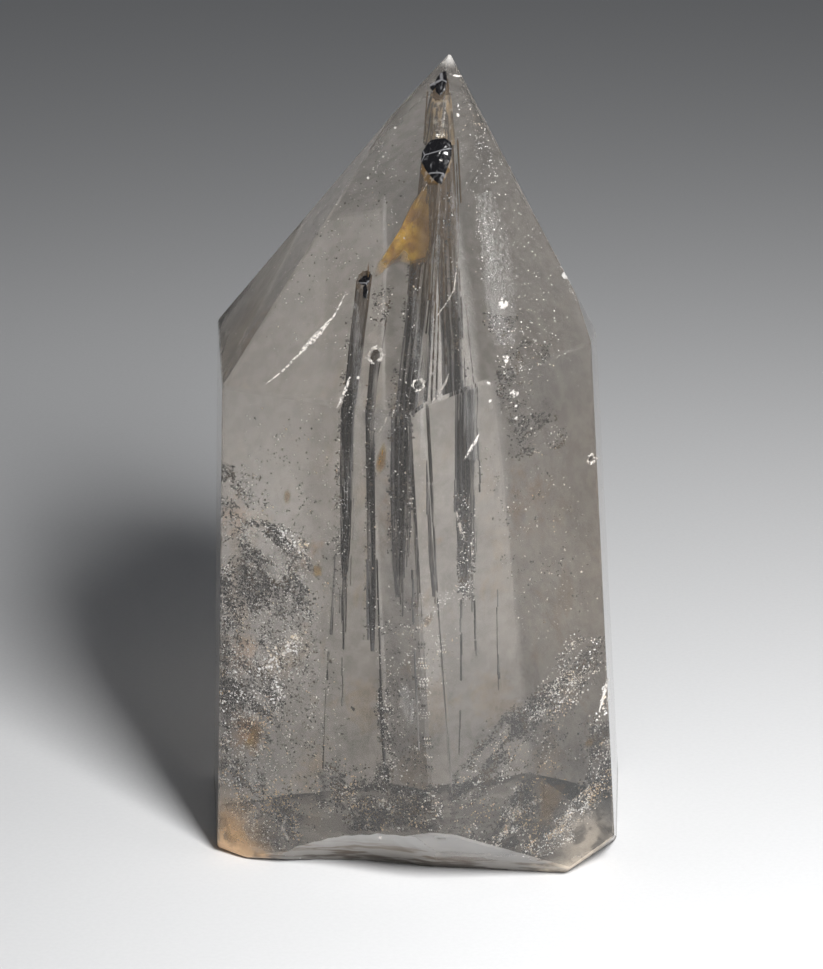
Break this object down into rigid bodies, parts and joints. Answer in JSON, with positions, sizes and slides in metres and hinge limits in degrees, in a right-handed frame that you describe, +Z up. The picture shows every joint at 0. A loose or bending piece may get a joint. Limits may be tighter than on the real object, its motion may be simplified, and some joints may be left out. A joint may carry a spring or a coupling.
{
  "type": "tourmalinated quartz point",
  "caption": "Clear six-sided quartz point, polished and standing on a flat cut base, with black tourmaline rods inside that come out flush at its tip faces.",
  "frame": {"origin": "middle of the bounding box at the level of the flat cut base", "axes": "+Z up along the point, -Y towards the front edge, +X to the right"},
  "size_m": [0.0542, 0.0568, 0.0996],
  "materials": {
    "clear_quartz": "ground and polished clear crystal, faintly smoky, with a rough broken chip at the base",
    "black_tourmaline": "black crystal, grooved lengthwise, glossy where it is ground flush"
  },
  "bodies": {
    "root": {"quartz_point": "clear_quartz", "tourmaline_long_rod": "black_tourmaline", "tourmaline_ridge_stub": "black_tourmaline", "tourmaline_left_rod": "black_tourmaline", "tourmaline_front_rod": "black_tourmaline"}
  },
  "joints": []
}
